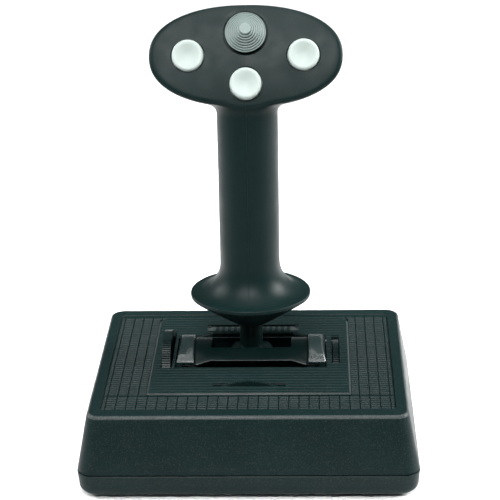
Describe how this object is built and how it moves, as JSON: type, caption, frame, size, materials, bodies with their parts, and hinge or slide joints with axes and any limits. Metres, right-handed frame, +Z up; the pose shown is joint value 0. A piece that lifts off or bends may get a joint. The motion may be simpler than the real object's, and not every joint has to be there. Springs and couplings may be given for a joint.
{
  "type": "flight joystick",
  "caption": "Desktop flight joystick: square dark base with thumb wheels, gimballed upright grip with flared hand rest, oval head, hat switch, thumb buttons and trigger.",
  "frame": {"origin": "on the table, under the centre of the base's footprint", "axes": "+X to the user's right, +Y away from the user (the trigger's side), +Z up"},
  "size_m": [0.165, 0.146, 0.2215],
  "materials": {
    "grip_plastic": "fine satin moulded ABS, near black with a green-grey cast",
    "base_plastic": "pebble-grained moulded ABS, near black",
    "gloss_black": "smooth semi-gloss acetal, near black",
    "hood_plastic": "spark-textured semi-gloss, dark grey",
    "button_plastic": "satin off-white",
    "hat_plastic": "fine matte, light grey",
    "inner_plastic": "plain moulded, dark grey",
    "rubber_black": "matte black rubber",
    "steel": "bright zinc plate",
    "sensor_case": "pressed can, satin",
    "circuit_board": "green solder mask"
  },
  "bodies": {
    "base": {"base_top_cover": "base_plastic", "base_tray": "base_plastic", "foot_front_left": "rubber_black", "foot_front_right": "rubber_black", "foot_back_left": "rubber_black", "foot_back_right": "rubber_black", "base_screw_front_left": "steel", "base_screw_front_right": "steel", "base_screw_back_left": "steel", "base_screw_back_right": "steel", "cable_inlet_bush": "rubber_black", "main_board": "circuit_board", "bearing_block_left": "inner_plastic", "bearing_block_right": "inner_plastic", "gimbal_hood_left": "hood_plastic", "gimbal_hood_right": "hood_plastic", "yoke_post_front": "inner_plastic", "yoke_post_back": "inner_plastic", "pitch_sensor_saddle": "inner_plastic", "roll_sensor_saddle": "inner_plastic", "throttle_sensor_saddle": "inner_plastic", "throttle_sensor": "sensor_case", "pitch_spring": "steel", "roll_spring": "steel"},
    "cradle": {"cradle": "gloss_black", "roll_pivot_pin": "steel"},
    "stick": {"stick_shaft": "gloss_black", "grip_shell_left": "grip_plastic", "grip_shell_right": "grip_plastic", "grip_screw_lower": "steel", "grip_screw_upper": "steel", "thumb_switch_board": "circuit_board", "button_switch_left": "inner_plastic", "button_switch_right": "inner_plastic", "button_switch_lower": "inner_plastic", "hat_switch_base": "inner_plastic", "trigger_pin": "steel", "trigger_switch": "inner_plastic"},
    "roll_yoke": {"roll_yoke": "inner_plastic"},
    "throttle": {"throttle_wheel": "base_plastic"},
    "pitch_trim": {"pitch_trim_wheel": "base_plastic", "pitch_sensor": "sensor_case"},
    "roll_trim": {"roll_trim_wheel": "base_plastic", "roll_sensor": "sensor_case"},
    "hat_rocker": {"hat_rocker": "inner_plastic"},
    "hat": {"hat_cap": "hat_plastic"},
    "button_left": {"button_left": "button_plastic"},
    "button_right": {"button_right": "button_plastic"},
    "button_lower": {"button_lower": "button_plastic"},
    "trigger": {"trigger": "grip_plastic"}
  },
  "joints": [
    {"name": "stick_pitch", "type": "hinge", "parent": "base", "child": "cradle", "pos_m": [0, 0.0117, 0.0245], "axis": [1, 0, 0], "range_deg": [-18, 18], "stiffness_Nm_per_rad": 1},
    {"name": "stick_roll", "type": "hinge", "parent": "cradle", "child": "stick", "pos_m": [0, 0.0117, 0.0245], "axis": [0, 1, 0], "range_deg": [-18, 18], "stiffness_Nm_per_rad": 1},
    {"name": "yoke_roll", "type": "hinge", "parent": "base", "child": "roll_yoke", "pos_m": [0, 0.0117, 0.0245], "axis": [0, 1, 0], "range_deg": [-18, 18]},
    {"name": "throttle_turn", "type": "hinge", "parent": "base", "child": "throttle", "pos_m": [-0.0427, 0.0117, 0.0245], "axis": [1, 0, 0], "range_deg": [-35, 35]},
    {"name": "pitch_trim_turn", "type": "hinge", "parent": "base", "child": "pitch_trim", "pos_m": [0.043, 0.0117, 0.0245], "axis": [1, 0, 0], "range_deg": [-12, 12]},
    {"name": "roll_trim_turn", "type": "hinge", "parent": "base", "child": "roll_trim", "pos_m": [0, -0.033, 0.0245], "axis": [0, 1, 0], "range_deg": [-12, 12]},
    {"name": "hat_up_down", "type": "hinge", "parent": "stick", "child": "hat_rocker", "pos_m": [0, 0.01215, 0.20698], "axis": [1, 0, 0], "range_deg": [-7, 7], "stiffness_Nm_per_rad": 0.01},
    {"name": "hat_left_right", "type": "hinge", "parent": "hat_rocker", "child": "hat", "pos_m": [0, 0.01215, 0.20698], "axis": [0, 0.4695, 0.8829], "range_deg": [-7, 7], "stiffness_Nm_per_rad": 0.01},
    {"name": "button_left_press", "type": "slide", "parent": "stick", "child": "button_left", "axis": [0, 0.8829, -0.4695], "range_m": [0, 0.0015], "stiffness_N_per_m": 200, "springref_m": -0.003},
    {"name": "button_right_press", "type": "slide", "parent": "stick", "child": "button_right", "axis": [0, 0.8829, -0.4695], "range_m": [0, 0.0015], "stiffness_N_per_m": 200, "springref_m": -0.003},
    {"name": "button_lower_press", "type": "slide", "parent": "stick", "child": "button_lower", "axis": [0, 0.8829, -0.4695], "range_m": [0, 0.0015], "stiffness_N_per_m": 200, "springref_m": -0.003},
    {"name": "trigger_pull", "type": "hinge", "parent": "stick", "child": "trigger", "pos_m": [0, 0.0235, 0.169], "axis": [1, 0, 0], "range_deg": [-8, 0], "stiffness_Nm_per_rad": 0.03, "springref_deg": 22.92}
  ],
  "couplings": [
    {"joint": "yoke_roll", "follows": "stick_roll", "ratio": 1}
  ]
}
